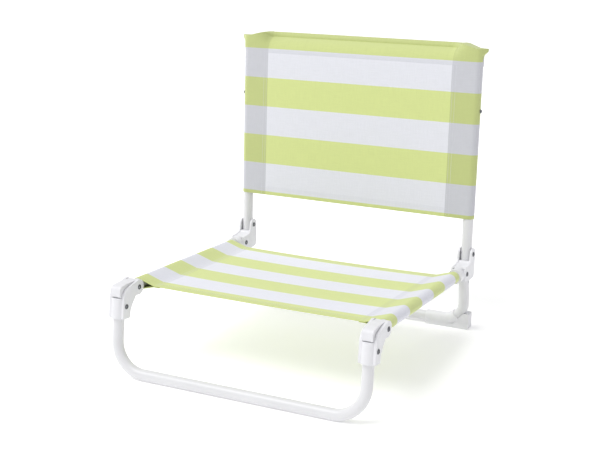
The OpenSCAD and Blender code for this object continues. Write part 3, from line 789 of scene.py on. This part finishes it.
class CHAIR_OT_rivets(bpy.types.Operator):
    """Make the tubular rivets with a rolled rim and a hollow middle at each end"""
    bl_idname = "chair.rivets"
    bl_label = "Rivets"

    def execute(self, context):
        settings = context.scene.chair_frame
        zinc = material_once("zinc_plated_steel", zinc_plated_steel, settings)
        # The hollow middles get a copy of the zinc 3.2 times as bright: painted light
        painted_light_gain = zinc_plated_steel(settings, "bright_rivet_core", 3.2)
        for node, body in RIVETS.items():
            verts = [vert.co for vert in frame["nodes"][node].data.vertices]
            bm = bmesh.new()
            for side in SIDES.values():
                own = [co for co in verts if co.x * side > 0]
                low = Vector([min(co[k] for co in own) for k in range(3)])
                high = Vector([max(co[k] for co in own) for k in range(3)])
                self.add_rivet(bm, (low + high) / 2, (high.y - low.y) / 2, (high.x - low.x) / 2)
            piece = new_piece(f"{node}_formed", bm, body, [zinc, painted_light_gain], 50)
            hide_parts(node)
        return {"FINISHED"}

    def add_rivet(self, bm, centre, head_radius, half_length):
        """One rivet along X: a half profile spun round and mirrored to the other end."""
        head = 0.0018  # Height of a head
        core = 0.40  # Radius of the hollow middle, as a share of the head's
        grip = half_length - head
        profile = [
            (0.0, grip + 0.0007), (head_radius * core, grip + 0.0006), (head_radius * 0.46, grip + 0.0003),
            (head_radius * 0.52, grip + head * 0.62), (head_radius * 0.60, grip + head * 0.96),
            (head_radius * 0.74, grip + head * 0.98), (head_radius * 0.90, grip + head * 0.72),
            (head_radius, grip + head * 0.3), (head_radius, grip), (head_radius * 0.6, grip),
            (head_radius * 0.6, 0.0),
        ]
        for end in (-1, 1):
            verts = [bm.verts.new(centre + Vector((end * x, 0, r))) for r, x in profile]
            edges = [bm.edges.new(pair) for pair in zip(verts, verts[1:])]
            bmesh.ops.spin(bm, geom=verts + edges, cent=centre, axis=(1, 0, 0), angle=math.tau,
                           steps=32, use_merge=True)
        bmesh.ops.remove_doubles(bm, verts=bm.verts, dist=SHAPE_MERGE)
        bmesh.ops.recalc_face_normals(bm, faces=bm.faces)
        # Faces of the hollow middles take that brightened copy: painted light
        for face in bm.faces:
            middle = face.calc_center_median() - centre
            radial = math.hypot(middle.y, middle.z)
            if radial < head_radius * core and abs(middle.x) > grip:
                face.material_index = 1


class CHAIR_OT_stage(bpy.types.Operator):
    """Make the floor, the soft studio light and the camera"""
    bl_idname = "chair.stage"
    bl_label = "Stage"

    def execute(self, context):
        settings = context.scene.chair_stage
        scene = context.scene
        bm = bmesh.new()
        bmesh.ops.create_grid(bm, x_segments=8, y_segments=8, size=FLOOR_REACH)
        mesh = bpy.data.meshes.new("floor")
        bm.to_mesh(mesh)
        bm.free()
        mesh.materials.append(pale_floor(settings))
        floor = bpy.data.objects.new("floor", mesh)
        scene.collection.objects.link(floor)

        world = bpy.data.worlds.new("studio")
        world.use_nodes = True
        background = world.node_tree.nodes["Background"]
        background.inputs["Color"].default_value = linear("#FDFDFF")
        background.inputs["Strength"].default_value = settings.sky
        scene.world = world
        scene.view_settings.view_transform = "Standard"
        for name, kind, place, size, power in LIGHTS:
            light = bpy.data.lights.new(name, kind)
            if kind == "SUN":
                light.angle = size
            else:
                light.size = size
            light.energy = power
            lamp = bpy.data.objects.new(name, light)
            lamp.location = place
            lamp.rotation_euler = (AIM - Vector(place)).to_track_quat("-Z", "Y").to_euler()
            scene.collection.objects.link(lamp)

        camera = bpy.data.cameras.new("camera")
        camera.sensor_width = 36.0
        camera.lens = settings.lens
        camera.clip_end = 60.0
        viewer = bpy.data.objects.new("camera", camera)
        scene.collection.objects.link(viewer)
        a, e = settings.azimuth, settings.elevation
        back = Vector((math.sin(a) * math.cos(e), -math.cos(a) * math.cos(e), math.sin(e)))
        turn = (-back).to_track_quat("-Z", "Y").to_matrix() @ Matrix.Rotation(settings.roll, 3, "Z")
        viewer.matrix_world = Matrix.Translation(settings.place) @ turn.to_4x4()
        scene.camera = viewer
        return {"FINISHED"}


class CHAIR_PT_panel(bpy.types.Panel):
    """The chair's pieces, in the order in which they are made"""
    bl_idname = "CHAIR_PT_panel"
    bl_label = "Camp Chair"
    bl_space_type = "VIEW_3D"
    bl_region_type = "UI"
    bl_category = "Camp Chair"

    def draw(self, context):
        for operator in OPERATORS:
            self.layout.operator(operator.bl_idname)
        for name in SETTINGS:
            group = getattr(context.scene, name)
            box = self.layout.box()
            for key in group.bl_rna.properties.keys():
                if key not in ("rna_type", "name"):
                    box.prop(group, key)


SETTINGS = {"chair_cloth": ClothSettings, "chair_frame": FrameSettings, "chair_stage": StageSettings}
OPERATORS = (CHAIR_OT_stage, CHAIR_OT_tubes, CHAIR_OT_fittings, CHAIR_OT_rivets, CHAIR_OT_seat_cloth,
             CHAIR_OT_back_cloth)


def register():
    for group in SETTINGS.values():
        bpy.utils.register_class(group)
    for name, group in SETTINGS.items():
        setattr(bpy.types.Scene, name, PointerProperty(type=group))
    for item in (*OPERATORS, CHAIR_PT_panel):
        bpy.utils.register_class(item)


def unregister():
    for item in (CHAIR_PT_panel, *reversed(OPERATORS)):
        bpy.utils.unregister_class(item)
    for name in SETTINGS:
        delattr(bpy.types.Scene, name)
    for group in reversed(SETTINGS.values()):
        bpy.utils.unregister_class(group)


def main():
    register()
    bpy.ops.chair.stage()
    bpy.ops.chair.tubes()
    bpy.ops.chair.fittings()
    bpy.ops.chair.rivets()
    bpy.ops.chair.seat_cloth()
    bpy.ops.chair.back_cloth()


if __name__ == "__main__":
    main()
